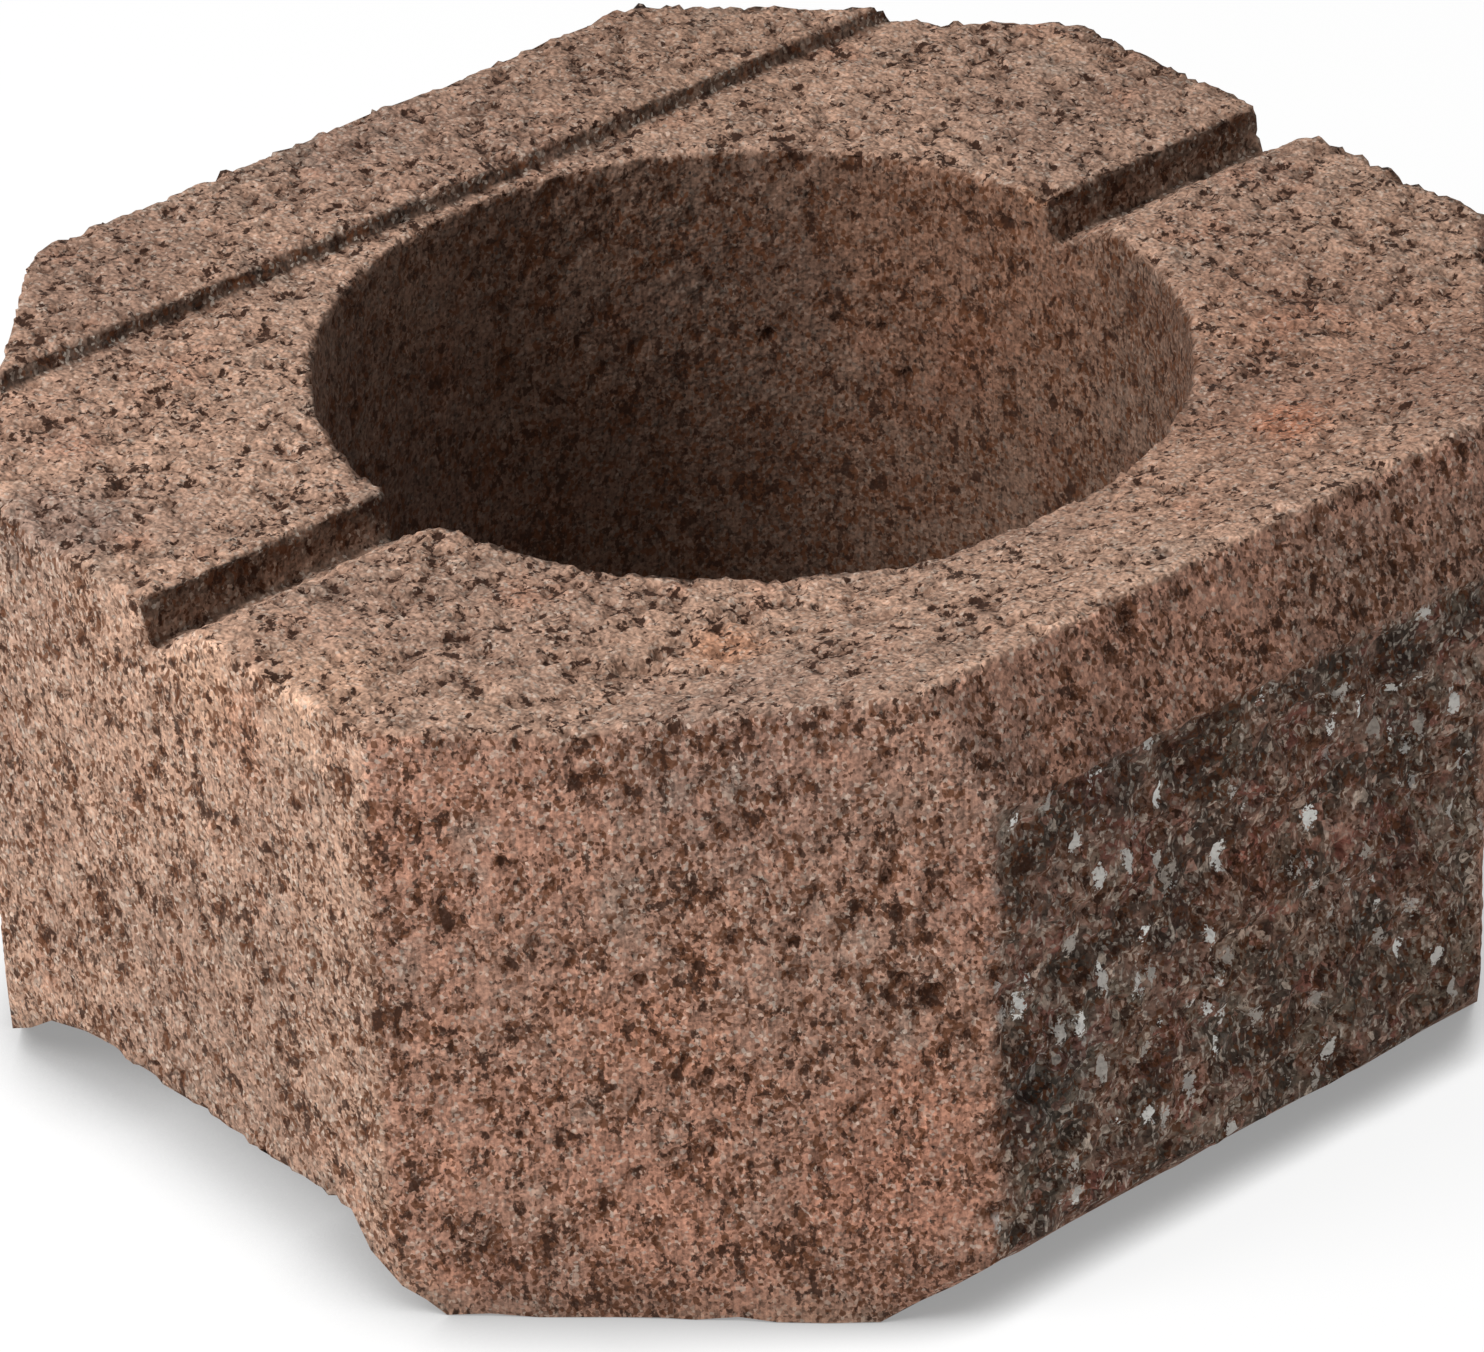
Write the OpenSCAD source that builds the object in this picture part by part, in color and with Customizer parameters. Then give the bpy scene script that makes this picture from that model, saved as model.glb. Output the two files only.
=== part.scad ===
// Plantable concrete wall block, dry-cast in one piece.
// Its plan is an oblong with four cut corners and one large round planting hole. One side section
// runs right across its width: two saw-tooth locking grooves and a raised nose on top, two feet
// below. The front, between the two front corners, is where the block was split from its twin.
// X runs along the wall, -Y is the split front, +Z is up. The origin is on the ground, under the
// middle of the width and the depth.

/* [Plan] */
// Width of the block along the wall
block_w = 450; // [420:1:480]
// Depth of the block, from the split front to the back
block_d = 420; // [400:1:440]
// Length cut off each front corner, the same along the front and the side
front_cut = 130; // [110:1:138]
// Length cut off each back corner, the same along the back and the side
back_cut = 103; // [90:1:115]

/* [Planting hole] */
// Diameter of the round planting hole
hole_d = 264; // [230:1:268]
// Distance from the middle of the depth back to the hole's axis
hole_back = 10; // [0:1:14]

/* [Top] */
// Height of the main top face above the ground
top_h = 200; // [185:1:215]
// How far the narrow band along the back stands above the main top face
back_band_rise = 4.5; // [1:0.5:6]
// Distance from the back of the block to the shallow groove's upright wall
shallow_groove_back = 60; // [50:1:64]
// Depth of the shallow groove below the main top face
shallow_groove_depth = 2; // [1:0.5:5]
// Distance from the back of the block to the deep groove's upright wall
deep_groove_back = 190; // [180:1:198]
// Depth of the deep groove below the main top face
deep_groove_depth = 16; // [10:0.5:18]
// Run of a groove's ramp for each millimetre of its depth
groove_ramp_run = 1.5; // [1.2:0.1:2.0]

/* [Nose and split front] */
// Rise of the nose above the main top face
nose_rise = 15.5; // [8:0.5:18]
// Distance from the split front to the crest of the nose
nose_back = 21; // [16:1:28]
// Distance over which the top face climbs to the crest
nose_climb = 72; // [60:1:80]
// Height of the split face's top edge above the ground
split_top_h = 176; // [165:1:185]

/* [Feet] */
// Height of the feet, from the ground to the hollow underside
foot_h = 26; // [20:1:30]
// Distance from the split front to the front foot's tread, which is its run out of the split face
front_foot_back = 30; // [20:1:34]
// Depth of the front foot's tread on the ground
front_foot_tread = 90; // [80:1:96]
// Run of the front foot's back slope
front_foot_slope = 30; // [16:1:34]
// Distance from the back of the block to the back foot's upright wall
back_foot_back = 82; // [76:1:90]
// Depth of the back foot's tread on the ground
back_foot_tread = 10; // [6:1:14]
// Run of the back foot's ramp for each millimetre of its height
back_foot_run = 1.6; // [1.2:0.1:1.8]

/* [Hidden] */
cast_brown = [0.50, 0.37, 0.31];
hole_fn = 180;

front_y = -block_d / 2;
back_y = block_d / 2;
side_x = block_w / 2;
crest_h = top_h + nose_rise;
band_h = top_h + back_band_rise;
shallow_y = back_y - shallow_groove_back;
shallow_h = top_h - shallow_groove_depth;
deep_y = back_y - deep_groove_back;
deep_h = top_h - deep_groove_depth;
crest_y = front_y + nose_back;
front_tread_y = front_y + front_foot_back;
front_heel_y = front_tread_y + front_foot_tread;
back_heel_y = back_y - back_foot_back;
back_tread_y = back_heel_y - back_foot_tread;
// The cutter for the hole stands past the highest and lowest points of the block.
overshoot = 20;

// The block seen from above: an oblong with a 45 degree cut at each corner.
module plan() {
    polygon([
        [-side_x + front_cut, front_y],
        [side_x - front_cut, front_y],
        [side_x, front_y + front_cut],
        [side_x, back_y - back_cut],
        [side_x - back_cut, back_y],
        [-side_x + back_cut, back_y],
        [-side_x, back_y - back_cut],
        [-side_x, front_y + front_cut],
    ]);
}

// The block seen from its right side, as points of depth (Y) and height (Z).
module side_section() {
    polygon([
        // split front, nose and the climb behind it
        [front_y, foot_h],
        [front_y, split_top_h],
        [crest_y, crest_h],
        [crest_y + nose_climb, top_h],
        // deep groove: a ramp down towards the back, then an upright wall
        [deep_y - groove_ramp_run * deep_groove_depth, top_h],
        [deep_y, deep_h],
        [deep_y, top_h],
        // shallow groove, whose wall rises on to the raised band along the back
        [shallow_y - groove_ramp_run * shallow_groove_depth, top_h],
        [shallow_y, shallow_h],
        [shallow_y, band_h],
        [back_y, band_h],
        // back foot: an upright wall at the back and a ramp towards the front
        [back_y, foot_h],
        [back_heel_y, foot_h],
        [back_heel_y, 0],
        [back_tread_y, 0],
        [back_tread_y - back_foot_run * foot_h, foot_h],
        // front foot, sloped on both sides of its tread
        [front_heel_y + front_foot_slope, foot_h],
        [front_heel_y, 0],
        [front_tread_y, 0],
    ]);
}

// The side section carried across the whole width of the mould.
module cast_bar() {
    rotate([90, 0, 90])
        translate([0, 0, -side_x])
            linear_extrude(height = block_w) side_section();
}

// The round hole that the mould's core leaves from top to bottom.
module planting_hole() {
    translate([0, hole_back, -overshoot])
        cylinder(h = crest_h + 2 * overshoot, d = hole_d, $fn = hole_fn);
}

module wall_block() {
    color(cast_brown)
        difference() {
            intersection() {
                cast_bar();
                linear_extrude(height = crest_h) plan();
            }
            planting_hole();
        }
}

wall_block();
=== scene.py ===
# %% [markdown]
# # A planting wall block
# The real thing is a slope block for planted walls: one piece of dry-cast coloured concrete. An
# earth-moist mix is rammed into a mould, so its sides come out dragged and pored, its top is
# tamped and grainy, and its front is split off a twin block with a blade. This script gives the
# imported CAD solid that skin, and lights and frames it. It starts with the frame, which it never
# changes, and every size below is in the same frame as the CAD.

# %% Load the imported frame
import math

import bpy
import numpy as np
from mathutils import Matrix, Vector


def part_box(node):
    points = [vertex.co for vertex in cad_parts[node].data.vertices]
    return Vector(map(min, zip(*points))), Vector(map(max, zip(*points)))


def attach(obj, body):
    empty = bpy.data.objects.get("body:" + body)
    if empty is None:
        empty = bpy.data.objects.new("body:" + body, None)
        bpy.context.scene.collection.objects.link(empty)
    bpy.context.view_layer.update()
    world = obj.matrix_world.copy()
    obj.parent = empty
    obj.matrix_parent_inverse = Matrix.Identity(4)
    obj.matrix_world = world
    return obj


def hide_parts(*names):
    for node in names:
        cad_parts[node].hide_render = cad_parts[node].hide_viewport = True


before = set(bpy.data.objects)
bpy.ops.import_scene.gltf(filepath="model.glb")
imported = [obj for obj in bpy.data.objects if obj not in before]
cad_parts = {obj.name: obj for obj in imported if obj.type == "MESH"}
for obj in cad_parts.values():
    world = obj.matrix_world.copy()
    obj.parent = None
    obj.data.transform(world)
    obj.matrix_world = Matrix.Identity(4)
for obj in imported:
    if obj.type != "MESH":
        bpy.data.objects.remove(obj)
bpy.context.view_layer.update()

MM = 0.001
low_mm, high_mm = (np.array(corner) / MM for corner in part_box("wall_block"))
print("CAD box in mm:", low_mm.round(1), high_mm.round(1))

# %% [markdown]
# ## The drawn block
# Two outlines say everything about the mould: the plan, an oblong with its four corners cut and a
# round planting hole, and the side section, whose saw-tooth top locks into the block above and
# whose two feet grip the one below. Both are in millimetres, with the corners that the part's own
# source gives them, measured from the front, the back and the sides of the frame's box.

# %% State the plan and the side section
side, back, nose_top = high_mm.round(1)
front = -back
FRONT_CUT, BACK_CUT = 130, 103               # what the corner cuts take off each side
TOP, BAND, FOOT = 200, 204.5, 26             # heights of the top, the back band and the feet
GROOVE_RUN, FOOT_RUN = 1.5, 1.6              # run of a groove's and a foot's ramp for each mm of height
hole_centre, hole_radius = np.array([0.0, 10.0]), 132.0
right_half = [(side - FRONT_CUT, front), (side, front + FRONT_CUT), (side, back - BACK_CUT),
              (side - BACK_CUT, back)]
plan_corners = np.array(right_half + [(-a, b) for a, b in reversed(right_half)])
split_top, nose_y = 176, front + 21
wall_y, wall_foot = back - 190, 184          # the deep groove's wall and the height of its foot
step_y, step_foot = back - 60, 198           # the shallow groove's step and the height of its foot
front_foot = [(front, FOOT), (front + 30, 0), (front + 120, 0), (front + 150, FOOT)]
heel_y, tread_y = back - 82, back - 92       # the back foot's upright wall and the start of its tread
back_foot = [(tread_y - FOOT_RUN * FOOT, FOOT), (tread_y, 0), (heel_y, 0), (heel_y, FOOT), (back, FOOT)]
top_line = [(back, BAND), (step_y, BAND), (step_y, step_foot),
            (step_y - GROOVE_RUN * (TOP - step_foot), TOP), (wall_y, TOP), (wall_y, wall_foot),
            (wall_y - GROOVE_RUN * (TOP - wall_foot), TOP), (nose_y + 72, TOP), (nose_y, nose_top)]
section_corners = np.array(front_foot + back_foot + top_line + [(front, split_top)])
print("plan spans", np.ptp(plan_corners, axis=0), "mm")
print("section spans", np.ptp(section_corners, axis=0), "mm")

# %% [markdown]
# ## Repeatable roughness
# Concrete is rough at every size, and the roughness has to come out the same at each run. Two kinds
# of it are enough: a smooth wander, read from a small block of random numbers, and loose grains, as
# the distance to scattered stones. Both take whole arrays of points.

# %% Noise on whole arrays
LATTICE = 32
noise_table = np.random.default_rng(2207).random((LATTICE, LATTICE, LATTICE, 4)).astype(np.float32)


def wander(points, size, layer=0):
    """Smooth noise from 0 to 1: random values at the corners of cubes of that size in mm, blended
    across each cube with the weight 3t^2 - 2t^3 along every axis."""
    cell = points / size + 7.3 * (layer + 1)
    corner = np.floor(cell).astype(int)
    t = (cell - corner).astype(np.float32)
    t = t * t * (3 - 2 * t)
    total = 0
    for step in np.ndindex(2, 2, 2):
        weight = np.prod(np.where(step, t, 1 - t), axis=-1)
        i, j, k = ((corner + step) % LATTICE).T
        total = total + weight * noise_table[i, j, k, layer % 4]
    return total


def rough(points, size, octaves=3, layer=0, fall=0.5):
    """Sum of wanders, each half the size and `fall` times the height of the last, scaled to 0..1."""
    heights = fall ** np.arange(octaves)
    return sum(h * wander(points, size / 2 ** n, layer + n) for n, h in enumerate(heights)) / heights.sum()


def grains(points, size, layer=0):
    """Loose grains, one at a random place in each cube of that size in mm: the distance to the
    nearest one as a share of the size, and that grain's own random number."""
    cell = points / size + 3.7 * (layer + 1)
    home = np.floor(cell).astype(int)
    near, number = np.full(len(points), 9.0, np.float32), np.zeros(len(points), np.float32)
    for step in np.ndindex(3, 3, 3):
        other = home + np.array(step) - 1
        i, j, k = (other % LATTICE).T
        grain = other + noise_table[i, j, k, :3]
        distance = np.sqrt(((cell - grain) ** 2).sum(axis=1))
        closer = distance < near
        near = np.where(closer, distance, near)
        number = np.where(closer, noise_table[i, j, k, 3], number)
    return near, number


def smoothstep(low, high, value):
    """0 below low, 1 above high, and 3t^2 - 2t^3 between them."""
    t = np.clip((value - low) / (high - low), 0, 1)
    return t * t * (3 - 2 * t)


probe = np.random.default_rng(1).uniform(-200, 200, (2000, 3))
print("mean of a wander", wander(probe, 20).mean().round(3))
print("mean distance to a grain", grains(probe, 20)[0].mean().round(3), "cells")

# %% [markdown]
# ## The block as a field
# A body with a through hole, grooves and feet has no single pair of parameters that covers it. So
# its skin is worked out as a level surface. At every point of an even net of points a field gives
# the depth inside the block in mm, below zero inside, and the skin runs where it is nought. The
# field is the larger of two distance maps, one to the side section and one to the plan. Each comes
# twice, crisp and blurred: the blurred one has its corners worn round, and the block wanders
# between the two along its edges.

# %% Two distance maps, crisp and worn
NET = 1.3                                    # spacing of the net of points, mm
MARGIN = 4 * NET                             # how far the net goes on past the box
OFFSET = 0.017                               # keeps the net's points off the block's flat faces
CRISP = 0.7                                  # spread of the crisp maps' blur, mm
PLAN_WORN, SECTION_WORN = 2.4, 2.2           # spreads of the worn maps' blur, mm
axes = [np.arange(low - MARGIN - OFFSET, high + MARGIN, NET) for low, high in zip(low_mm, high_mm)]
across, along, up = axes
print("net of", len(across), "x", len(along), "x", len(up), "points")


def outline_distance(corners, a, b):
    """Distance in mm from each point (a, b) to a closed outline, below zero inside it: the least
    distance to any of its sides, with the sign turned each time a side is crossed."""
    nearest, inside = np.full(a.shape, 1e9), np.zeros(a.shape, bool)
    for (a0, b0), (a1, b1) in zip(corners, np.roll(corners, -1, axis=0)):
        da, db = a1 - a0, b1 - b0
        t = np.clip(((a - a0) * da + (b - b0) * db) / (da * da + db * db), 0, 1)
        nearest = np.minimum(nearest, (a - a0 - t * da) ** 2 + (b - b0 - t * db) ** 2)
        if db:
            inside ^= ((b0 > b) != (b1 > b)) & (a < da * (b - b0) / db + a0)
    return np.where(inside, -1, 1) * np.sqrt(nearest)


def blurred(sheet, spread):
    """The map averaged under a bell curve of that spread in mm, along one axis and then the other."""
    reach = int(3 * spread / NET) + 1
    bell = np.exp(-0.5 * (np.arange(-reach, reach + 1) * NET / spread) ** 2)
    bell /= bell.sum()
    for axis in (0, 1):
        padding = [(reach, reach) if n == axis else (0, 0) for n in (0, 1)]
        padded = np.pad(sheet, padding, mode="edge")
        sheet = sum(w * np.take(padded, np.arange(n, n + sheet.shape[axis]), axis=axis)
                    for n, w in enumerate(bell))
    return sheet.astype(np.float32)


plan_a, plan_b = np.meshgrid(across, along, indexing="ij")
hole_inside = hole_radius - np.hypot(plan_a - hole_centre[0], plan_b - hole_centre[1])
plan_map = np.maximum(outline_distance(plan_corners, plan_a, plan_b), hole_inside)
section_map = outline_distance(section_corners, *np.meshgrid(along, up, indexing="ij"))
plan_crisp, plan_worn = blurred(plan_map, CRISP), blurred(plan_map, PLAN_WORN)
section_crisp, section_worn = blurred(section_map, CRISP), blurred(section_map, SECTION_WORN)
print("deepest point of the plan", plan_map.min().round(1), "mm")
print("deepest point of the section", section_map.min().round(1), "mm")

# %% [markdown]
# Where the two maps cross, the edge is rounded: over less than 1 mm where it is crisp, and over
# about 3 mm where it is worn. The split front is not moulded, so it gets its own surface in the
# field: a plane that wanders back into the block by a few mm in lumps, and stays nearly true along
# its top, where the blade bit.

# %% Join the maps and split the front


def joined(a, b, blend):
    """The larger of two fields, with the crossing rounded over `blend` mm."""
    overlap = np.maximum(blend - np.abs(a - b), 0)
    return np.maximum(a, b) + overlap * overlap / (4 * blend)


def upsampled(size, layer):
    """A slow wander over the whole net: coarse random numbers stretched to it axis by axis."""
    coarse = np.random.default_rng(layer).random([int(len(x) * NET / size) + 3 for x in axes])
    for axis, x in enumerate(axes):
        place = (x - x[0]) / size + 0.5
        lower = place.astype(int)
        t = smoothstep(0, 1, place - lower)
        stretch = np.zeros((len(x), coarse.shape[axis]))
        stretch[np.arange(len(x)), lower] = 1 - t
        stretch[np.arange(len(x)), lower + 1] = t
        coarse = np.moveaxis(np.tensordot(stretch, coarse, axes=(1, axis)), 0, axis)
    return coarse.astype(np.float32)


CRISP_EDGE, WORN_EDGE = 0.8, 4.0             # mm over which an unworn and a fully worn edge is round
MOST_WORN = 0.8                              # no place is worn fully
wear = MOST_WORN * smoothstep(0.56, 0.88, upsampled(28, 11) * 0.65 + upsampled(9, 12) * 0.35)
wear *= 1 - 0.8 * smoothstep(45, 30, up)     # the feet keep their corners
section_part = section_crisp[None] + (section_worn - section_crisp)[None] * wear
plan_part = plan_crisp[:, :, None] + (plan_worn - plan_crisp)[:, :, None] * wear
field = joined(section_part, plan_part, CRISP_EDGE + (WORN_EDGE - CRISP_EDGE) * wear)
del section_part, plan_part

LUMPS, TOP_LUMPS = 5.5, 1.5                  # how far back the lumps go, and near the split's top
front_points = np.stack(np.meshgrid(across, [0.0], up, indexing="ij"), axis=-1).reshape(-1, 3)
large_lumps = rough(front_points, 38, 3, layer=5, fall=0.6)
small_lumps = rough(front_points, 11, 2, layer=8, fall=0.6)
lumps = (0.5 * large_lumps + 0.5 * small_lumps).reshape(len(across), len(up))
lump_depth = LUMPS - (LUMPS - TOP_LUMPS) * smoothstep(split_top - 10, split_top, up)[None]
split_y = low_mm[1] + lump_depth * smoothstep(0.30, 0.70, lumps)
split_part = (split_y[:, None, :] - along[None, :, None]).astype(np.float32)
front_part = along < low_mm[1] + 30          # the split changes nothing farther back
field[:, front_part] = joined(field[:, front_part], split_part[:, front_part], CRISP_EDGE)
print("field from", field.min().round(1), "to", field.max().round(1), "mm")
print("split front up to", (split_y.max() - low_mm[1]).round(1), "mm back")

# %% [markdown]
# ## From field to skin
# A net cube whose corners lie on both sides of nought holds one point of the skin, at the middle of
# the places where its edges cross nought. Every net edge that crosses nought joins the four cubes
# round it into one face. That closes the skin by itself, hole and all, once the field has no
# pinches: places where two sheets of skin would meet in one edge. A few steps down the field's
# slope then bring each point right onto the surface.

# %% Surface nets in numpy


def skin_of(field):
    """Points and four-sided faces of the level surface at nought. A cube's point is the mean of its
    crossed edges, and a crossed edge's face joins the four cubes that share it. The ring of cubes
    runs one way where the edge leaves the block and the other where it enters, and the axis across
    the middle turns it once more, so that every face looks outward."""
    inside = field < 0
    count = sum(inside[i:inside.shape[0] - 1 + i, j:inside.shape[1] - 1 + j, k:inside.shape[2] - 1 + k]
                .astype(np.uint8) for i, j, k in np.ndindex(2, 2, 2))
    cubes = np.argwhere((count > 0) & (count < 8))
    number = np.full(count.shape, -1, np.int32)
    number[tuple(cubes.T)] = np.arange(len(cubes))
    total, crossings = np.zeros((len(cubes), 3)), np.zeros(len(cubes))
    faces = []
    for axis in range(3):
        others = [n for n in range(3) if n != axis]
        step = np.eye(3, dtype=int)[axis]
        for shift in np.ndindex(2, 2):
            start = cubes.copy()
            start[:, others] += shift
            a, b = field[tuple(start.T)], field[tuple((start + step).T)]
            crossed = (a < 0) != (b < 0)
            t = np.where(crossed, a / np.where(crossed, a - b, 1), 0)
            place = start.astype(float)
            place[:, axis] += t
            total += np.where(crossed[:, None], place, 0)
            crossings += crossed
        low = [slice(1, -1)] * 3
        low[axis] = slice(0, -1)
        high = [slice(1, -1)] * 3
        high[axis] = slice(1, None)
        a, b = inside[tuple(low)], inside[tuple(high)]
        for leaving in (True, False):
            edge = np.argwhere((a != b) & (a == leaving)) + 1
            edge[:, axis] -= 1
            ring = [(0, 0), (1, 0), (1, 1), (0, 1)]
            if leaving == (axis == 1):
                ring = ring[::-1]
            corners = []
            for back in ring:
                cube = edge.copy()
                cube[:, others] -= back
                corners.append(number[tuple(cube.T)])
            faces.append(np.stack(corners, axis=1))
    points = total / crossings[:, None] * NET + [x[0] for x in axes]
    return points, np.concatenate(faces)


def sampled(field, points):
    """The field's value at each point, blended from the eight net points round it."""
    place = (points - [x[0] for x in axes]) / NET
    corner = np.clip(place.astype(int), 0, np.array(field.shape) - 2)
    t = place - corner
    total = 0
    for step in np.ndindex(2, 2, 2):
        total = total + np.prod(np.where(step, t, 1 - t), axis=-1) * field[tuple((corner + step).T)]
    return total


def slope(field, points, reach=NET):
    """Which way the field rises at each point: its difference over `reach` mm along each axis."""
    rises = [sampled(field, points + move) - sampled(field, points - move)
             for move in np.eye(3) * reach]
    return np.stack(rises, axis=1) / (2 * reach)


JUST_OUTSIDE = 0.05                          # what an opened corner of the net is given, mm


def opened(field):
    """The field with its pinches opened. Where the four corners of a net square go in, out, in and
    out, two sheets of skin would share one edge, so the two inside corners are put just outside.
    That can pinch a neighbour, so it goes on until none is left."""
    pinches = 1
    while pinches:
        pinches = 0
        for pair in ((0, 1), (0, 2), (1, 2)):
            views = {}
            for step in np.ndindex(2, 2):
                cut = [slice(None)] * 3
                for axis, ahead in zip(pair, step):
                    cut[axis] = slice(ahead, field.shape[axis] - 1 + ahead)
                views[step] = field[tuple(cut)]
            signs = {step: view < 0 for step, view in views.items()}
            pinched = (signs[0, 0] == signs[1, 1]) & (signs[0, 1] == signs[1, 0])
            pinched &= signs[0, 0] != signs[0, 1]
            for view in views.values():
                view[pinched & (view < 0)] = JUST_OUTSIDE
            pinches += int(pinched.sum())
    return field


LEAST_RISE = 0.2                             # squared; stops a step from leaping where the field is flat
field = opened(field)
points, faces = skin_of(field)
for _ in range(3):
    rise = slope(field, points)
    steepness = np.maximum((rise ** 2).sum(axis=1), LEAST_RISE)
    points -= rise * (sampled(field, points) / steepness)[:, None]
print(len(points), "points,", len(faces), "faces")

# %% [markdown]
# ## What each face went through
# The same concrete looks different on each face, because of how that face was made. Weights say
# which face a point is on: the tamped top, the split front, the hole's drawn wall, and the moulded
# sides with the underside as the rest. They come from the slope and place of the skin, so they
# follow the worn edges. A fourth number is highest on sharp edges: it is how much the field's
# average round a point exceeds its value there. The way to carve is the slope over a wider reach,
# so that neighbours on both sides of an edge move together and never cross. In all that follows,
# x, y and z are a point's place in mm, and out_x, out_y and out_z say which way the skin looks.

# %% Weigh the finishes and find the edges
UPPER_PART = 150                             # mm; what looks up above this height is the top
x, y, z = points.T
outward = slope(field, points, 2.0)
outward /= np.linalg.norm(outward, axis=1)[:, None]
out_x, out_y, out_z = outward.T
to_hole = smoothstep(4.0, 1.5, np.hypot(x - hole_centre[0], y - hole_centre[1]) - hole_radius)
top_w = smoothstep(0.5, 0.75, out_z) * (z > UPPER_PART)
front_face = smoothstep(0.3, 0.7, -out_y) * (1 - top_w) * (1 - to_hole) * (y < 0)
split_side = side - FRONT_CUT
split_w = front_face * smoothstep(12, 8, y - low_mm[1]) * smoothstep(split_top + 3, split_top - 1, z)
split_w *= smoothstep(split_side + 6, split_side + 1, np.abs(x))
hole_w = to_hole * (1 - top_w)
side_w = np.clip(1 - top_w - split_w, 0, 1)
left_face = smoothstep(0.75, 0.9, -out_x) * (1 - hole_w)


def edge_share(reach):
    """1 on a square edge, falling to 0 at `reach` mm from it: the mean of the field at the six
    points that far away along the axes, less the field here."""
    moves = np.concatenate([np.eye(3), -np.eye(3)]) * reach
    mean = sum(sampled(field, points + move) for move in moves) / 6
    return np.clip((mean - sampled(field, points)) * 3 / reach, 0, 1)


edges = edge_share(3.5)
carving = slope(field, points, 4.0)
carving /= np.linalg.norm(carving, axis=1)[:, None]
for name, share in (("tamped", top_w), ("split", split_w), ("drawn", hole_w), ("edge", edges)):
    print(name, "share", share.mean().round(3))

# %% [markdown]
# Relief is then cut along the slope, always inwards, so the block never outgrows its mould: slow
# waves everywhere, clumps with clefts between them on the top, pulled stones on the split, and on
# the moulded faces the pores that the mix leaves where it did not fill. Pores on the sides are
# longer than they are wide, because the mould is stripped upwards. Edges crumble most, and the lips
# of the grooves with them. In the sums below, the number before a share is its depth in mm, and the
# first number in a call of rough or grains is its size in mm.

# %% Cut the relief
PORE_SHAPE = [1, 1, 0.62]                    # height is squeezed, which draws the pores out upwards
tall = points * PORE_SHAPE
waves = 0.5 * rough(points, 60, 2, layer=2)
crowd = rough(points, 24, 2, layer=8)        # where gaps and pores crowd together
crumbs = rough(points, 6.5, 2, layer=4, fall=0.7)
gaps = smoothstep(0.40, 0.31, rough(points, 4.2, 2, layer=7) + 0.25 * (crowd - 0.5))
bend = np.stack([rough(points, 5, 2, layer=n) for n in (12, 13, 14)], axis=1) - 0.5
bent = points + 2.2 * bend                   # breaks up the clumps' round outlines
clump_near, clump_number = grains(bent, 5.4, layer=5)
clumps = 1.2 * smoothstep(0.28, 0.80, clump_near) + 0.8 * clump_number
torn = 0.45 * clumps + 0.5 * smoothstep(0.3, 0.72, crumbs) + 1.1 * gaps

pores = smoothstep(0.37, 0.29, rough(tall, 3.6, 2, layer=6) + 0.3 * (crowd - 0.5))
pit_near, pit_number = grains(tall, 8.0, layer=3)
pits = smoothstep(0.30, 0.16, pit_near) * (pit_number > 0.94)
moulded = 0.9 * pores + 1.8 * pits + 0.6 * smoothstep(0.3, 0.7, crumbs) + 0.35 * clumps

chunk_near, chunk_number = grains(bent, 7.5, layer=2)
pulled = 1.4 * (chunk_number > 0.6) * smoothstep(0.6, 0.5, chunk_near)
chunks = 1.5 * smoothstep(0.3, 0.7, rough(points, 7, 2, layer=9, fall=0.8)) + 1.1 * clumps + pulled

deep_groove = smoothstep(16, 8, np.abs(y - (wall_y - 14)))
shallow_groove = smoothstep(9, 5, np.abs(y - step_y))
in_groove = deep_groove + 0.2 * shallow_groove
crumbled = edges * (0.2 + 2.3 * smoothstep(0.40, 0.66, rough(points, 7, 3, layer=10, fall=0.8)))
crumbled *= 1 + 0.7 * in_groove * (z > 170)
crumbled += 0.9 * in_groove * (z > 180) * smoothstep(0.35, 0.65, crumbs)
depth = waves + top_w * torn + split_w * chunks + side_w * moulded + crumbled
treads = smoothstep(0.7, 0.9, -out_z) * (z < 4)
depth *= 1 - 0.97 * treads                   # the treads rest nearly flat on the floor
print("relief from", depth.min().round(2), "to", depth.max().round(2), "mm")

# %% [markdown]
# A few hollows are this block's own: a cleft where the mix tore on the top, bites out of an edge,
# voids where it did not fill. Each is a ball with a ragged rim, pressed into the skin: its place,
# its radius and its depth in mm.

# %% Press the block's own hollows
OWN_HOLLOWS = np.array([
    (-142, -108, 200, 6.5, 3.0), (-146, -102, 200, 4.0, 2.5), (-134, -103, 200, 3.5, 2.2),
    (-125, -104, 200, 3.0, 2.0), (-114, -105, 200, 3.0, 2.0), (-105, -105, 200, 3.5, 2.2),
    (-131, -121, 200, 4.0, 2.2), (-180, -125, 197, 5.5, 2.6), (-178, -127, 189, 3.0, 1.6),
    (-171, -134, 118, 3.4, 2.2), (-140, -165, 132, 3.2, 2.0), (-112, -193, 114, 5.5, 2.6),
    (-118, -187, 119, 4.0, 1.8), (-36, -193, 208, 4.2, 2.4), (134, 24, 199, 7.0, 4.0),
    (141, 20, 197, 5.0, 3.0), (-99, -206, 122, 5.0, 2.2), (-222, -40, 120, 3.0, 1.6),
    (-225, 15, 150, 3.2, 1.6), (-100, -205, 40, 5.0, 2.4)])
own = np.zeros(len(points))
ragged = 0.7 + 0.9 * rough(points, 4.5, 2, layer=3)
for *centre, radius, deep in OWN_HOLLOWS:
    away = np.linalg.norm(points - centre, axis=1) * ragged / radius
    own = np.maximum(own, deep * smoothstep(1.15, 0.55, away))
depth = depth + own
carved = np.clip(points - carving * depth[:, None], low_mm, high_mm)
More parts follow.
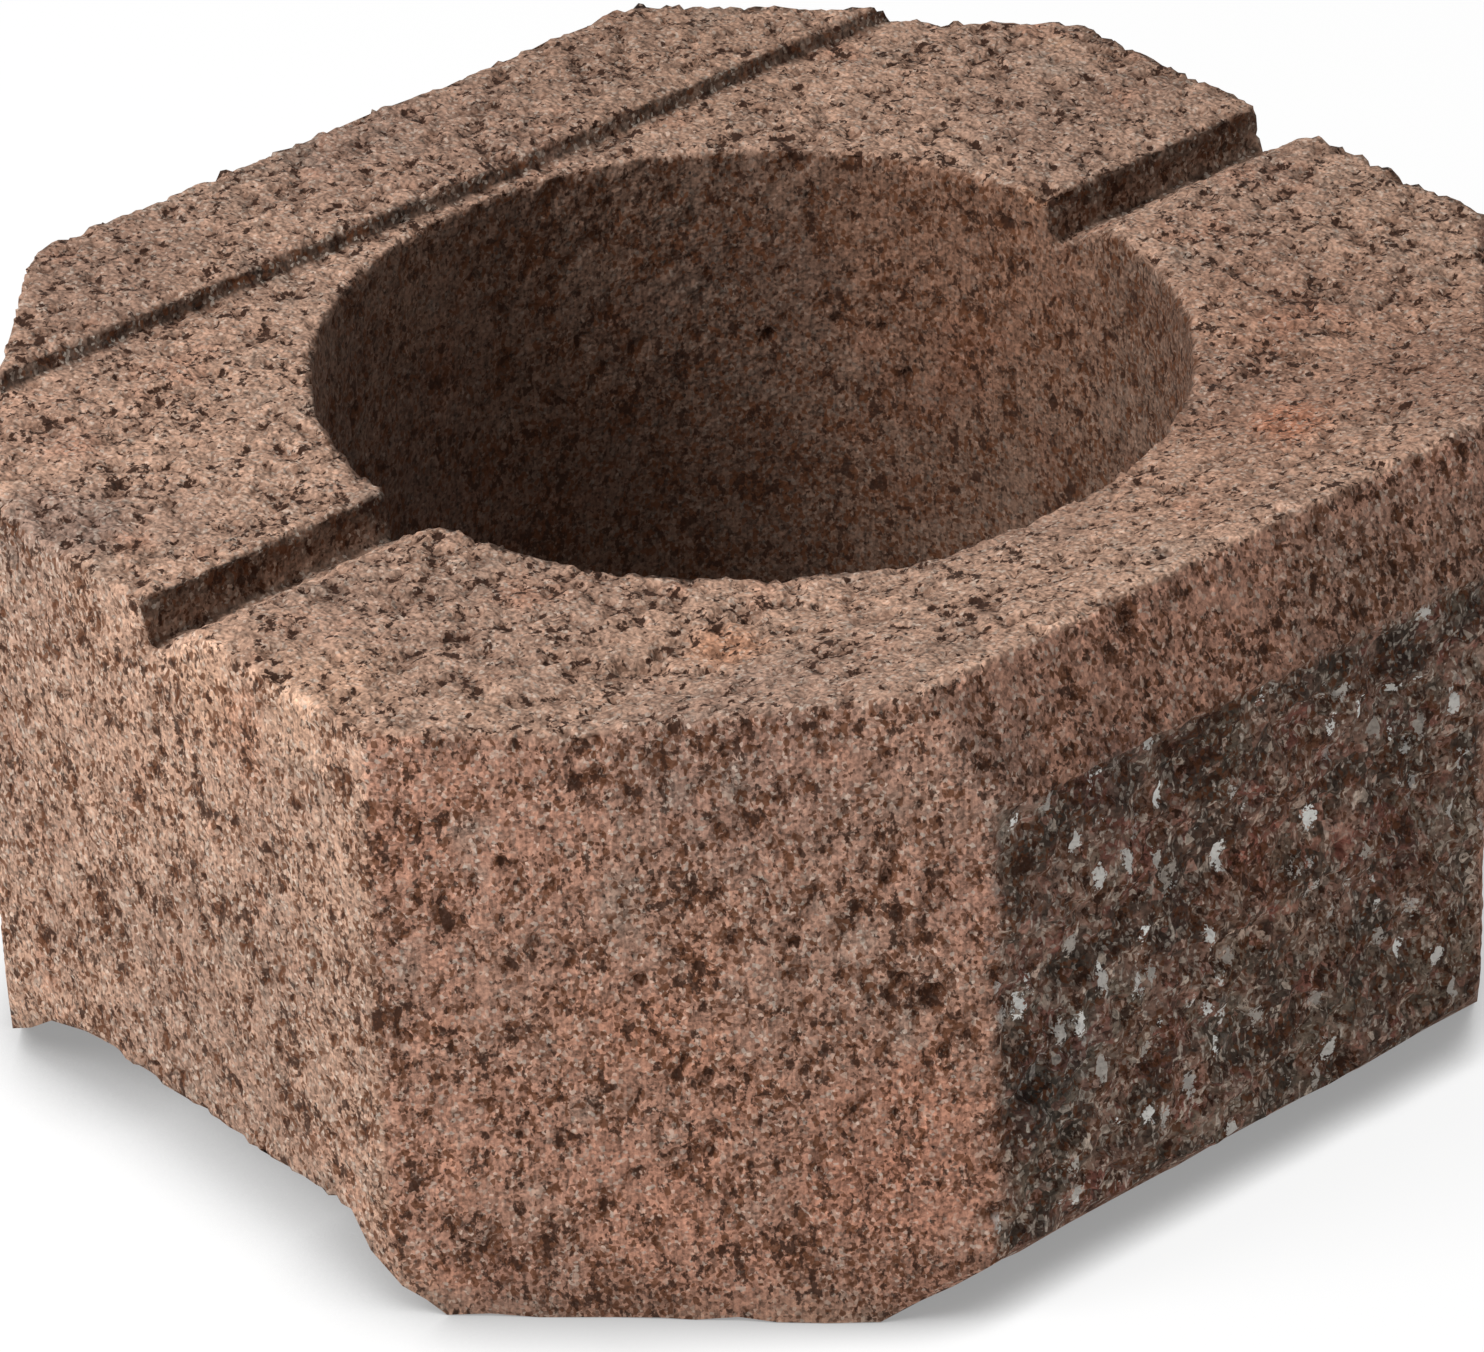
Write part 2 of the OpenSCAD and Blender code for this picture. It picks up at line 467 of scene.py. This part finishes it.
hollow = top_w * gaps + side_w * np.maximum(pores, pits) + split_w * gaps * 0.7 + own / 2.2
hollow = np.clip(np.clip(hollow, 0, 1) * (1 + left_face), 0, 1)      # they show most on the left side
print(len(OWN_HOLLOWS), "own hollows, up to", own.max().round(1), "mm deep")

# %% [markdown]
# Colour wanders over the block too: the mix is redder here and greyer there, worn corners are paler
# and other places darker, a few of them with painted shade. This is a table of soft-edged stains,
# each a place, a radius in mm and what it does to red, green and blue. Their product is the skin's
# tone.

# %% Lay the stains
STAINS = [
    ((-119, -114, 200), 15, (1.10, 0.92, 0.80)), ((82, -137, 204), 17, (1.08, 0.86, 0.76)),
    ((-180, -125, 99), 20, (1.06, 1.02, 0.99)), ((-165, -140, 96), 16, (1.04, 1.00, 0.97)),
    ((-214, 73, 200), 24, (0.74, 0.78, 0.84)), ((-216, -50, 195), 26, (1.10, 1.08, 1.04)),
    ((-224, -10, 180), 24, (1.08, 1.06, 1.02)), ((-214, -91, 162), 13, (1.08, 1.04, 1.02)),
    ((-150, -155, 190), 42, (0.90, 0.92, 0.95)), ((-100, -200, 150), 26, (0.90, 0.91, 0.93)),
    # painted shade: the stains at (-55, -209, 174) and (30, -210, 166) darken the split under the nose
    ((-93, -205, 190), 24, (0.90, 0.94, 0.98)), ((-55, -209, 174), 16, (0.66, 0.66, 0.70)),
    ((30, -210, 166), 24, (0.84, 0.82, 0.82)), ((-78, -210, 80), 24, (0.66, 0.72, 0.78)),
    ((10, -210, 110), 36, (1.06, 0.92, 0.88)), ((60, -210, 150), 20, (0.80, 0.84, 0.86)),
    ((120, -110, 200), 85, (0.89, 0.82, 0.79)), ((40, -130, 202), 60, (0.95, 0.91, 0.89)),
    ((0, 185, 204), 60, (0.85, 0.84, 0.85)), ((-110, 170, 204), 50, (0.86, 0.85, 0.85)),
    ((110, 175, 204), 60, (0.85, 0.84, 0.83)), ((-190, 130, 204), 40, (0.92, 0.90, 0.90)),
    ((-150, -150, 60), 60, (1.02, 0.97, 0.95)), ((-120, -185, 60), 40, (1.03, 0.96, 0.93)),
    ((-202, -103, 10), 26, (0.86, 0.86, 0.88)), ((131, 27, 200), 7, (1.55, 1.50, 1.40)),
    ((210, 99, 200), 6, (1.45, 1.42, 1.35)), ((-86, -210, 177), 5, (1.8, 1.85, 1.9)),
    # painted shade: the last stain, at (-60, 120, 90), darkens the back left of the hole's wall
    ((-60, 120, 90), 70, (0.94, 0.92, 0.94))]
tone = np.ones((len(points), 3))
blur_edge = 0.55 + 0.9 * rough(points, 11, 3, layer=1, fall=0.6)
for centre, radius, change in STAINS:
    share = smoothstep(1.15, 0.35, np.linalg.norm(points - centre, axis=1) * blur_edge / radius)
    tone *= 1 + share[:, None] * (np.array(change) - 1)
print(len(STAINS), "stains, tone from", tone.min().round(2), "to", tone.max().round(2))

# %% [markdown]
# Some places are darker or paler, all along a face or a line. The left side is darkened a little all
# over, which is painted shade. Both grooves get painted shade on their walls and at the foot of them,
# and so does the split just under the nose. The nose's edge and the top's left edge are paler in
# spots. The hole's wall is paler and warmer at the right, which is painted light where the lamp
# reaches in. All of it goes into the same tone.

# %% Paint shade on the grooves, the left side and under the nose, and pale the edges in spots
looks_front = smoothstep(-0.2, -0.6, out_y)
spotted = smoothstep(0.30, 0.60, rough(points, 9, 3, layer=11, fall=0.7))
patchy = smoothstep(0.35, 0.55, rough(points, 16, 3, layer=1))
deep_wall = looks_front * smoothstep(6, 4, np.abs(y - (wall_y + 0.5))) * (z > 180)
deep_foot = smoothstep(wall_y - 16, wall_y - 2, y) * (y < wall_y + 1) * top_w * (z < 190)
step_wall = looks_front * smoothstep(6, 4, np.abs(y - step_y)) * (z > 190)
under_step = smoothstep(step_y - 5, step_y - 1, y) * (y < step_y + 1) * (z > 190)
under_nose = split_w * smoothstep(split_top - 28, split_top - 8, z)
# painted shade: each share below darkens the tone of its place
PAINTED_SHADE_PLACES = [
    0.15 * left_face,
    (0.40 + 0.30 * smoothstep(187, 196, z)) * deep_wall,
    (0.32 + 0.30 * spotted) * deep_foot,
    0.60 * step_wall,
    (0.20 + 0.30 * spotted) * under_step,
    0.26 * under_nose * patchy]
for darker in PAINTED_SHADE_PLACES:
    tone *= 1 - darker[:, None]

PALER_EDGE, HOLE_LIGHT_PAINTED = [0.70, 0.74, 0.76], [0.26, 0.13, 0.06]        # added to red, green and blue
# the nose's edge and the top's left edge are made paler in spots
nose_edge = smoothstep(14, 6, np.abs(y - nose_y)) * (z > 196)
left_edge = smoothstep(14, 5, np.abs(x + side)) * (np.abs(y + 35) < 60) * (z > 178)
spots = smoothstep(0.48, 0.58, rough(points, 9, 3, layer=9, fall=0.7))
paler_edge = (nose_edge + left_edge) * (np.clip(0.2 + 1.5 * edges, 0, 1) * spots)
# painted light: the hole's wall is paler and warmer at the right, where the lamp reaches in
hole_light_painted = hole_w * smoothstep(80, 20, np.linalg.norm(points - [128, 50, 165], axis=1))
tone *= 1 + np.clip(paler_edge, 0, 1)[:, None] * PALER_EDGE
tone *= 1 + hole_light_painted[:, None] * HOLE_LIGHT_PAINTED
print(len(PAINTED_SHADE_PLACES), "damp places, tone from", tone.min().round(2), "to", tone.max().round(2))

# %% [markdown]
# The skin goes into a mesh with its finishes, hollows and tone kept as attributes, for the
# material to read. A collapse of its flatter faces then spends the triangles where the surface
# turns most, and fewer of them on the underside, deep in the hole and at the back.

# %% Make the skin a piece
MOST_TRIANGLES = 196_000
SHOWN, PLAIN = 0.05, 1.0                     # how readily a face collapses


def piece_from(name, points, faces, colours):
    """A mesh object from whole arrays: points in mm, four-sided faces, and named colour arrays."""
    mesh = bpy.data.meshes.new(name)
    mesh.vertices.add(len(points))
    mesh.vertices.foreach_set("co", (points * MM).astype(np.float32).ravel())
    mesh.loops.add(faces.size)
    mesh.loops.foreach_set("vertex_index", faces.astype(np.int32).ravel())
    mesh.polygons.add(len(faces))
    mesh.polygons.foreach_set("loop_start", np.arange(0, faces.size, faces.shape[1], dtype=np.int32))
    for label, values in colours.items():
        layer = mesh.attributes.new(label, "FLOAT_COLOR", "POINT")
        with_alpha = np.column_stack([values, np.ones(len(values))])
        layer.data.foreach_set("color", with_alpha.astype(np.float32).ravel())
    mesh.update(calc_edges=True)
    mesh.polygons.foreach_set("use_smooth", np.ones(len(mesh.polygons), bool))
    made = bpy.data.objects.new(name, mesh)
    bpy.context.scene.collection.objects.link(made)
    return made


finishes = np.stack([top_w, split_w, hole_w], axis=1)
marks = np.stack([hollow, front_face, np.zeros(len(points))], axis=1)        # the third is spare
block = piece_from("dry_cast_block", carved, faces, {"finish": finishes, "marks": marks, "tone": tone})
deep_in_hole = hole_w * smoothstep(150, 90, z)
underside = smoothstep(30, 24, z)
back_face = smoothstep(0.6, 0.9, out_y)
is_plain = np.maximum(np.maximum(deep_in_hole, underside), back_face) > 0.5
plain_group = block.vertex_groups.new(name="plain")
for level, chosen in ((SHOWN, ~is_plain), (PLAIN, is_plain)):
    plain_group.add(np.flatnonzero(chosen).tolist(), level, "REPLACE")
thinning = block.modifiers.new("thinning", "DECIMATE")
thinning.ratio = MOST_TRIANGLES / (2 * len(faces))
thinning.use_collapse_triangulate = True
thinning.vertex_group, thinning.vertex_group_factor = "plain", 1.0
bpy.context.view_layer.update()
thinned = bpy.data.meshes.new_from_object(block.evaluated_get(bpy.context.evaluated_depsgraph_get()))
block.modifiers.clear()
block.vertex_groups.clear()
full_mesh, block.data = block.data, thinned
bpy.data.meshes.remove(full_mesh)
block.data.name = "dry_cast_block"
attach(block, "root")
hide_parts("wall_block")
print("block has", len(block.data.polygons), "faces and", len(block.data.vertices), "points")

# %% [markdown]
# ## The concrete
# Dry-cast concrete is sand, grit and cement with iron-oxide pigment, rammed almost dry into a steel
# mould. It is matt, with no gloss at all: its roughness is near 1 and its specular level low, and it
# keeps the shader's index of refraction of 1.5, near that of sand and cement. The brown is never
# even, because pigment and cement streak in the mixer.

# %% One function for nodes
FACTOR, UNDER, OVER = 0, 6, 7                # a Mix node's inputs when it mixes colours
MIXED = {"out": 2, "data_type": "RGBA"}      # and its output, with the setting that calls for it
SMOOTH = {"interpolation_type": "SMOOTHSTEP"}


def linear(hex_colour):
    """An sRGB hex colour as linear red, green, blue, alpha."""
    parts = [int(hex_colour[n:n + 2], 16) / 255 for n in (1, 3, 5)]
    return [p / 12.92 if p <= 0.04045 else ((p + 0.055) / 1.055) ** 2.4 for p in parts] + [1.0]


def add(kind, inputs=(), out=0, **settings):
    """Adds a node to `tree`: its inputs by order or by name, each a value or a socket to link, and
    its settings by name. Gives its output socket `out`."""
    node = tree.nodes.new("ShaderNode" + kind)
    for label, value in settings.items():
        setattr(node, label, value)
    for label, value in (inputs.items() if isinstance(inputs, dict) else enumerate(inputs)):
        if isinstance(value, bpy.types.NodeSocket):
            tree.links.new(value, node.inputs[label])
        else:
            node.inputs[label].default_value = value
    return node.outputs[out] if node.outputs else node


print("mid brown is", [round(c, 3) for c in linear("#A97E68")])

# %% [markdown]
# Every pattern is a noise, or cells with three random numbers each, of a real size in millimetres.
# It lies on the block in one of five ways. `drawn` patterns are longer upwards, as the pores of a
# stripped mould are. `streaked` ones are about twelve times as long, as its drag marks are. The
# `slanted` slivers and `upright` stones lean over on the split. The finest sand would be too fine to
# show from afar, so sand is drawn in cells of 1.1 mm, and the drag marks 0.9 mm wide.

# %% Patterns of the concrete
LEAN = 0.35                                  # how far the split's stones lean over, radians
concrete = bpy.data.materials.new("concrete_dry_cast_brown")
concrete.use_nodes = True
tree = concrete.node_tree
tree.nodes.clear()
where = add("TexCoord", out="Object")
places = {
    "plain": where,
    "drawn": add("Mapping", {"Vector": where, "Scale": (1, 1, 0.7)}),
    "streaked": add("Mapping", {"Vector": where, "Scale": (1, 1, 0.08)}),
    "slanted": add("Mapping", {"Vector": where, "Scale": (1, 1, 0.22), "Rotation": (0, LEAN, 0)}),
    "upright": add("Mapping", {"Vector": where, "Scale": (1.25, 1, 0.75), "Rotation": (0, LEAN, 0)})}
NOISES = {                                   # size in mm, detail, roughness, how it lies
    "cloud": (90, 3, 0.6, "plain"),
    "rust": (34, 4, 0.6, "plain"),
    "grey": (27, 4, 0.65, "plain"),
    "maroon": (19, 4, 0.7, "plain"),
    "crowd": (15, 2, 0.6, "plain"),
    "mottle": (8, 3, 0.65, "drawn"),
    "crumb": (3.4, 2, 0.6, "plain"),
    "pore": (3.0, 3, 0.65, "drawn"),
    "sliver": (1.7, 1, 0.5, "slanted"),
    "fine": (1.5, 2, 0.7, "plain"),
    "streak": (0.9, 1, 0.6, "streaked")}
CELLS = {                                    # size in mm, how they lie
    "stone": (7.0, "upright"),
    "chip": (3.4, "plain"),
    "speck": (1.4, "drawn"),
    "sand": (1.1, "plain")}
pattern = {name: add("TexNoise", {"Vector": places[way], "Scale": 1 / (size * MM), "Detail": detail,
                                  "Roughness": coarse})
           for name, (size, detail, coarse, way) in NOISES.items()}
near = {name: add("TexVoronoi", {"Vector": places[way], "Scale": 1 / (size * MM)})
        for name, (size, way) in CELLS.items()}
numbers = {name: add("SeparateColor", [distance.node.outputs["Color"]]).node.outputs
           for name, distance in near.items()}
pattern["sand"] = numbers["sand"][0]
is_top, is_split, is_hole = add("SeparateColor", [add("VertexColor", layer_name="finish")]).node.outputs
is_hollow, is_front, _ = add("SeparateColor", [add("VertexColor", layer_name="marks")]).node.outputs
loose = add("Math", [is_top, is_split], operation="MAXIMUM")
print(len(NOISES), "noises and", len(CELLS), "kinds of cells")

# %% [markdown]
# The colour is laid mostly as the real one comes about. First the paste, one brown, redder on the
# faces that the front of the mould gave, with clouds, rust and grey in it. The split shows the inside
# instead: broken stones of several colours, slivers and chips. The hole's wall is darker all over,
# which is painted shade. Each layer goes over the last, where its pattern is high.

# %% Paste and broken stone
PASTE_LAYERS = [                             # pattern, where it starts, where it is full, share, colour
    (pattern["cloud"], 0.42, 0.62, 0.50, "#8F7364"),
    (pattern["rust"], 0.55, 0.70, 0.40, "#B07C64"),
    (pattern["grey"], 0.55, 0.72, 0.45, "#877B70")]
BROKEN_LAYERS = [
    (pattern["grey"], 0.42, 0.58, 0.75, "#716759"),
    (pattern["maroon"], 0.52, 0.60, 0.70, "#80493F"),
    (pattern["rust"], 0.48, 0.56, 0.80, "#3C332C"),
    (pattern["mottle"], 0.56, 0.66, 0.50, "#A58A7A"),
    (pattern["sliver"], 0.60, 0.67, 0.75, "#C4B5A8"),
    (numbers["chip"][0], 0.80, 0.92, 0.60, "#463A32"),
    (numbers["chip"][1], 0.88, 1.00, 0.80, "#C8B6A6"),
    (numbers["chip"][2], 0.85, 0.95, 0.50, "#A87868")]
paste = add("Mix", {FACTOR: is_front, UNDER: linear("#B3907B"), OVER: linear("#A37966")}, **MIXED)
laid = []
for below, layers in ((paste, PASTE_LAYERS), (linear("#87695B"), BROKEN_LAYERS)):
    for mask_from, start, full, share, hue in layers:
        mask = add("MapRange", [mask_from, start, full, 0.0, share], **SMOOTH)
        below = add("Mix", {FACTOR: mask, UNDER: below, OVER: linear(hue)}, **MIXED)
    laid.append(below)
colour = add("Mix", {FACTOR: is_split, UNDER: laid[0], OVER: laid[1]}, **MIXED)
# painted shade: the hole's wall is darkened all over
painted_shade = add("Mix", {FACTOR: is_hole, UNDER: linear("#FFFFFF"), OVER: linear("#AAA6A4")}, **MIXED)
for layer in (painted_shade, add("VertexColor", layer_name="tone")):
    colour = add("Mix", {FACTOR: 1.0, UNDER: colour, OVER: layer}, blend_type="MULTIPLY", **MIXED)
print(len(PASTE_LAYERS), "layers in the paste,", len(BROKEN_LAYERS), "in the broken stone")

# %% [markdown]
# Sand, mottling and drag marks change how light the concrete is, not its hue. Each is a pattern
# about nought times a strength. The loose faces, top and split, show a little less of the sand and
# more of the crumbs, and no drag. Then single grains of pale sand show through, but few in the hole.

# %% Light and dark grains
SHADES = [                                   # pattern, strength on moulded faces, added on loose ones
    ("sand", 0.70, -0.10),
    ("fine", 1.50, -1.00),
    ("streak", 0.90, -0.90),
    ("mottle", 0.90, 0.10),
    ("crumb", 0.70, 0.50)]
PALE_GRAINS = [                              # a random number of each grain, share, colour
    (numbers["speck"][1], 0.25, "#D6C6B6"),
    (numbers["sand"][1], 0.30, "#E2D6C8")]
# painted light: the top is made a little lighter than the sides
shade = add("Math", [is_top, 0.03, 0.92], operation="MULTIPLY_ADD")      # the top is a little lighter
for name, on_moulded, added in SHADES:
    about_nought = add("Math", [pattern[name], 0.5], operation="SUBTRACT")
    strength = add("Math", [loose, added, on_moulded], operation="MULTIPLY_ADD")
    shade = add("Math", [about_nought, strength, shade], operation="MULTIPLY_ADD")
shade = add("CombineColor", [shade, shade, shade])
colour = add("Mix", {FACTOR: 1.0, UNDER: colour, OVER: shade}, blend_type="MULTIPLY", **MIXED)
outside_hole = add("Math", [is_hole, -0.7, 1.0], operation="MULTIPLY_ADD")
for number, share, hue in PALE_GRAINS:
    mask = add("MapRange", [number, 0.88, 0.96, 0.0, share], **SMOOTH)
    mask = add("Math", [mask, outside_hole], operation="MULTIPLY")
    colour = add("Mix", {FACTOR: mask, UNDER: colour, OVER: linear(hue)}, **MIXED)
print(len(SHADES), "shades and", len(PALE_GRAINS), "kinds of pale grain")

# %% [markdown]
# Pores are the gaps between the grains, and they crowd in some places and in the hollows of the
# mesh. Their dark brown, and the darkening of the mesh's hollows, is painted shade, as light is lost
# in them. Some cells of the split are whole pale stones, with edges made ragged by the fine noise,
# and they are laid last. The bump is the relief that is too fine for the
# mesh: a plain noise of 2.4 mm, higher on the loose faces.

# %% Pores, pale stones and bump
PORES = [       # source, where it starts, where it is full, crowding, in hollows, share, on the top, colour
    (numbers["speck"][0], 0.17, 0.09, 0.80, -0.30, 0.80, -0.50, "#5C361F"),
    (numbers["sand"][2], 0.16, 0.08, 0.80, -0.25, 0.72, -0.57, "#4E2D1A"),
    (pattern["pore"], 0.425, 0.36, 0.30, -0.07, 0.86, 0.10, "#321C11")]
# painted shade: the mesh's hollows are darkened toward dark brown
hollow_shade_painted = add("Math", [is_hollow, 0.28], operation="MULTIPLY")
colour = add("Mix", {FACTOR: hollow_shade_painted, UNDER: colour, OVER: linear("#321C11")}, **MIXED)
crowded = add("Math", [pattern["crowd"], 0.5], operation="SUBTRACT")
for number, start, full, crowding, in_hollows, share, on_top, hue in PORES:
    level = add("Math", [crowded, crowding, number], operation="MULTIPLY_ADD")
    level = add("Math", [is_hollow, in_hollows, level], operation="MULTIPLY_ADD")
    mask = add("MapRange", [level, start, full, 0.0, 1.0], **SMOOTH)
    weight = add("Math", [is_top, on_top, share], operation="MULTIPLY_ADD")
    mask = add("Math", [mask, weight], operation="MULTIPLY")
    colour = add("Mix", {FACTOR: mask, UNDER: colour, OVER: linear(hue)}, **MIXED)

ragged_near = add("Math", [pattern["fine"], 1.3, near["stone"]], operation="MULTIPLY_ADD")
in_stone = add("MapRange", [ragged_near, 1.12, 1.00, 0.0, 1.0], **SMOOTH)
is_pale = add("MapRange", [numbers["stone"][0], 0.79, 0.87, 0.0, 1.0], **SMOOTH)
pale_stone = add("Mix", {FACTOR: numbers["stone"][1], UNDER: linear("#FFFEFA"),
                         OVER: linear("#A69A90")}, **MIXED)
mask = add("Math", [in_stone, is_pale], operation="MULTIPLY")
mask = add("Math", [mask, is_split], operation="MULTIPLY")
colour = add("Mix", {FACTOR: mask, UNDER: colour, OVER: pale_stone}, **MIXED)

relief = add("TexNoise", {"Vector": where, "Scale": 1 / (2.4 * MM), "Detail": 1.0, "Roughness": 0.6})
rise = add("Math", [loose, 0.5, 0.5], operation="MULTIPLY_ADD")
height = add("Math", [relief, rise], operation="MULTIPLY")
bump = add("Bump", {"Height": height, "Distance": 1.9 * MM, "Strength": 1.0})
shader = add("BsdfPrincipled", {"Base Color": colour, "Roughness": 0.95, "Specular IOR Level": 0.2,
                                "Normal": bump})
add("OutputMaterial", {"Surface": shader})
block.data.materials.clear()
block.data.materials.append(concrete)
print(concrete.name, "has", len(tree.nodes), "nodes")

# %% [markdown]
# ## The studio
# A pale floor, one large soft lamp high on the left, and an even white dome make the studio. The
# floor is white to whoever looks at it and shows a painted soft contact shadow, drawn by how much of
# the sky near it the block hides: within 20 mm of the point, and within 42 mm beside the left wall,
# where the shadow is wider. To every other ray it is plain matt paper. It has one side only.

# %% Floor
FLOOR = 6.0                                  # metres from the middle to each edge
NARROW, WIDE = 20 * MM, 42 * MM              # the two reaches of the contact shadow
WIDE_FROM, WIDE_AT = -110 * MM, -185 * MM    # where it turns from narrow to wide, along x


def direct_rays():
    """Nodes in `tree` that give 1 for the rays that show a thing itself: those from the camera, off
    a glossy face or through glass."""
    light_path = add("LightPath").node.outputs
    seen = light_path["Is Camera Ray"]
    for other in ("Is Glossy Ray", "Is Transmission Ray"):
        seen = add("Math", [seen, light_path[other]], operation="MAXIMUM")
    return seen


floor_mesh = bpy.data.meshes.new("studio_floor")
floor_corners = [(-FLOOR, -FLOOR, 0), (FLOOR, -FLOOR, 0), (FLOOR, FLOOR, 0), (-FLOOR, FLOOR, 0)]
floor_mesh.from_pydata(floor_corners, [], [(0, 1, 2, 3)])
studio_floor = bpy.data.objects.new("studio_floor", floor_mesh)
bpy.context.scene.collection.objects.link(studio_floor)
paper = bpy.data.materials.new("paper_matt_white")
paper.use_nodes = True
tree = paper.node_tree
tree.nodes.clear()
matt = add("BsdfDiffuse", {"Color": linear("#F2F2F0")})
narrow, wide = (add("AmbientOcclusion", {"Distance": reach}, out="AO", samples=12)
                for reach in (NARROW, WIDE))
floor_x = add("SeparateXYZ", [add("TexCoord", out="Object")])
beside_left = add("MapRange", [floor_x, WIDE_FROM, WIDE_AT, 0.0, 1.0])
open_sky = add("Mix", {"Factor": beside_left, "A": narrow, "B": wide})
# painted shadow: the floor's glow dims where the block hides the sky
strength = add("MapRange", [open_sky, 0.38, 0.84, 0.30, 0.89])      # darkest at the block's foot
lit = add("Emission", {"Color": linear("#FFFFFF"), "Strength": strength})
faint = add("BsdfDiffuse", {"Color": linear("#656565")})
sheet = add("AddShader", [faint, lit])
shown = add("MixShader", [direct_rays(), matt, sheet])
behind = add("NewGeometry", out="Backfacing")
sided = add("MixShader", [behind, shown, add("BsdfTransparent")])
add("OutputMaterial", {"Surface": sided})
studio_floor.data.materials.append(paper)
print("floor of", len(floor_mesh.polygons), "face")

# %% [markdown]
# The lamp is a disc so large that its shadows have soft edges. The dome fills the shade with an even
# light, and rays that show the background itself find it full white.

# %% Lamp and dome
LAMP_SIZE, LAMP_WATTS, LAMP_AWAY = 0.9, 40.0, 2.1        # metres, watts, metres
lamp_aim = Vector((0, 0, 0.1))
DOME = 0.42                                  # strength of the white sky
lamp_data = bpy.data.lights.new("softbox", "AREA")
lamp_data.shape, lamp_data.size = "DISK", LAMP_SIZE
lamp_data.energy = LAMP_WATTS
lamp = bpy.data.objects.new("softbox", lamp_data)
bpy.context.scene.collection.objects.link(lamp)
lamp_way = Vector((-0.68, 0.14, 0.60)).normalized()
lamp.location = lamp_way * LAMP_AWAY + lamp_aim
lamp.rotation_mode = "QUATERNION"
lamp.rotation_quaternion = lamp_way.to_track_quat("Z", "Y")
world = bpy.data.worlds.new("studio")
bpy.context.scene.world = world
world.use_nodes = True
tree = world.node_tree
tree.nodes.clear()
strength = add("MapRange", [direct_rays(), 0.0, 1.0, DOME, 1.0])
dome = add("Background", {"Color": linear("#FFFFFF"), "Strength": strength})
add("OutputWorld", {"Surface": dome})
print("lamp of", lamp_data.energy, "W, dome of", DOME)

# %% [markdown]
# The camera looks down on the block's front left corner through a long lens, from where its
# verticals stay nearly upright. It aims beside the block's middle, to frame it edge to edge.

# %% Camera
LENS, SENSOR = 193.357, 36.0                 # mm
azimuth, elevation, roll = (math.radians(a) for a in (-40.317, 31.215, -1.601))
distance, aside, above = 2503.1 * MM, -14.5 * MM, 76.7 * MM
backward = Vector((math.sin(azimuth) * math.cos(elevation),
                   -math.cos(azimuth) * math.cos(elevation), math.sin(elevation)))
level = Vector((math.cos(azimuth), math.sin(azimuth), 0))
steep = backward.cross(level)
right = level * math.cos(roll) + steep * math.sin(roll)
upright = steep * math.cos(roll) - level * math.sin(roll)
camera_data = bpy.data.cameras.new("camera")
camera_data.sensor_width, camera_data.lens = SENSOR, LENS
camera = bpy.data.objects.new("camera", camera_data)
bpy.context.scene.collection.objects.link(camera)
place = backward * distance + right * aside + upright * above
turn = Matrix((right, upright, backward)).transposed().to_4x4()
camera.matrix_world = Matrix.Translation(place) @ turn
camera_data.clip_start, camera_data.clip_end = 0.1, 20.0
bpy.context.scene.camera = camera
bpy.context.scene.view_settings.view_transform = "Standard"
print("camera", round(distance, 3), "m away, lens", round(camera_data.lens, 1), "mm")
